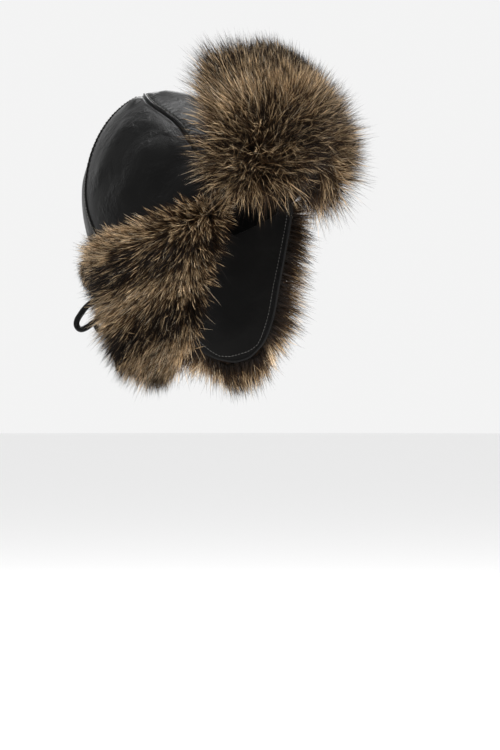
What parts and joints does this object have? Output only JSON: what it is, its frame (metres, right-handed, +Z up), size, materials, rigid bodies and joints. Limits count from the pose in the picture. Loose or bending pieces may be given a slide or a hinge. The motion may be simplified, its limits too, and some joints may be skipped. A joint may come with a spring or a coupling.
{
  "type": "raccoon fur trapper hat",
  "caption": "Leather trapper hat with a thick fur front flap turned up over the forehead, hanging fur ear flaps, a short fur neck flap and a leather bow tied behind the neck.",
  "frame": {"origin": "middle of the head opening, where the hat sits on a head", "axes": "+Z up as worn, -Y out of the face opening, +X towards the wearer's left; the crown leans back by 20 degrees about X"},
  "size_m": [0.2352, 0.2752, 0.3159],
  "materials": {
    "black_leather": "smooth glossy black leather",
    "raccoon_fur": "long raccoon fur, brown with cream and black bands",
    "leather_lace": "round black leather lace"
  },
  "bodies": {
    "root": {"crown_front": "black_leather", "crown_left": "black_leather", "crown_back": "black_leather", "crown_right": "black_leather", "front_flap": "black_leather", "front_flap_fur": "raccoon_fur", "ear_flap_left": "black_leather", "ear_flap_left_fur": "raccoon_fur", "ear_flap_right": "black_leather", "ear_flap_right_fur": "raccoon_fur", "neck_flap": "black_leather", "neck_flap_fur": "raccoon_fur", "tie_left": "leather_lace", "tie_right": "leather_lace", "bow_knot": "leather_lace", "bow_loop_left": "leather_lace", "bow_loop_right": "leather_lace", "bow_tail_left": "leather_lace", "bow_tail_right": "leather_lace"}
  },
  "joints": []
}
